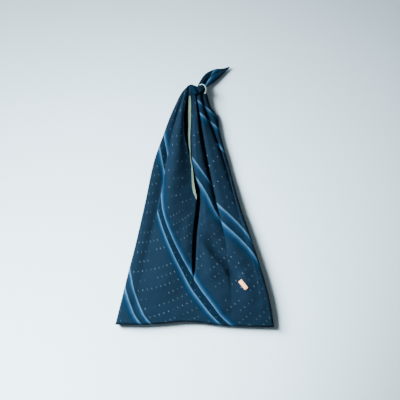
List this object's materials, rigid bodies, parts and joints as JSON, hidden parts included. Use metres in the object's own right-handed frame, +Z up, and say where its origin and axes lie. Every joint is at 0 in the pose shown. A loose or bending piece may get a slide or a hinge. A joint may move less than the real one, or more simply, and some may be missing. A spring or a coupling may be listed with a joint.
{
  "type": "azuma bag",
  "caption": "Japanese azuma bag of striped indigo cotton, empty and lying on its back, with a neck slit and its two horns drawn together in a knot with one free end",
  "frame": {"origin": "on the surface that the bag lies on, under the middle of its bounding box", "axes": "+Y runs from the bottom fold to the knot, +X to the right as seen from the front, +Z up off the surface, out of the bag's front"},
  "size_m": [0.444, 0.7282, 0.0327],
  "materials": {
    "striped_cotton": "matte plain-weave cotton, dyed indigo with shaded stripes and small pale dashes",
    "lining_cotton": "matte pale green-grey cotton",
    "woven_label": "matte peach woven label, left bare"
  },
  "bodies": {
    "root": {"outer_cloth": "striped_cotton", "slit_lining": "lining_cotton", "knot_lining": "lining_cotton", "label": "woven_label"}
  },
  "joints": []
}
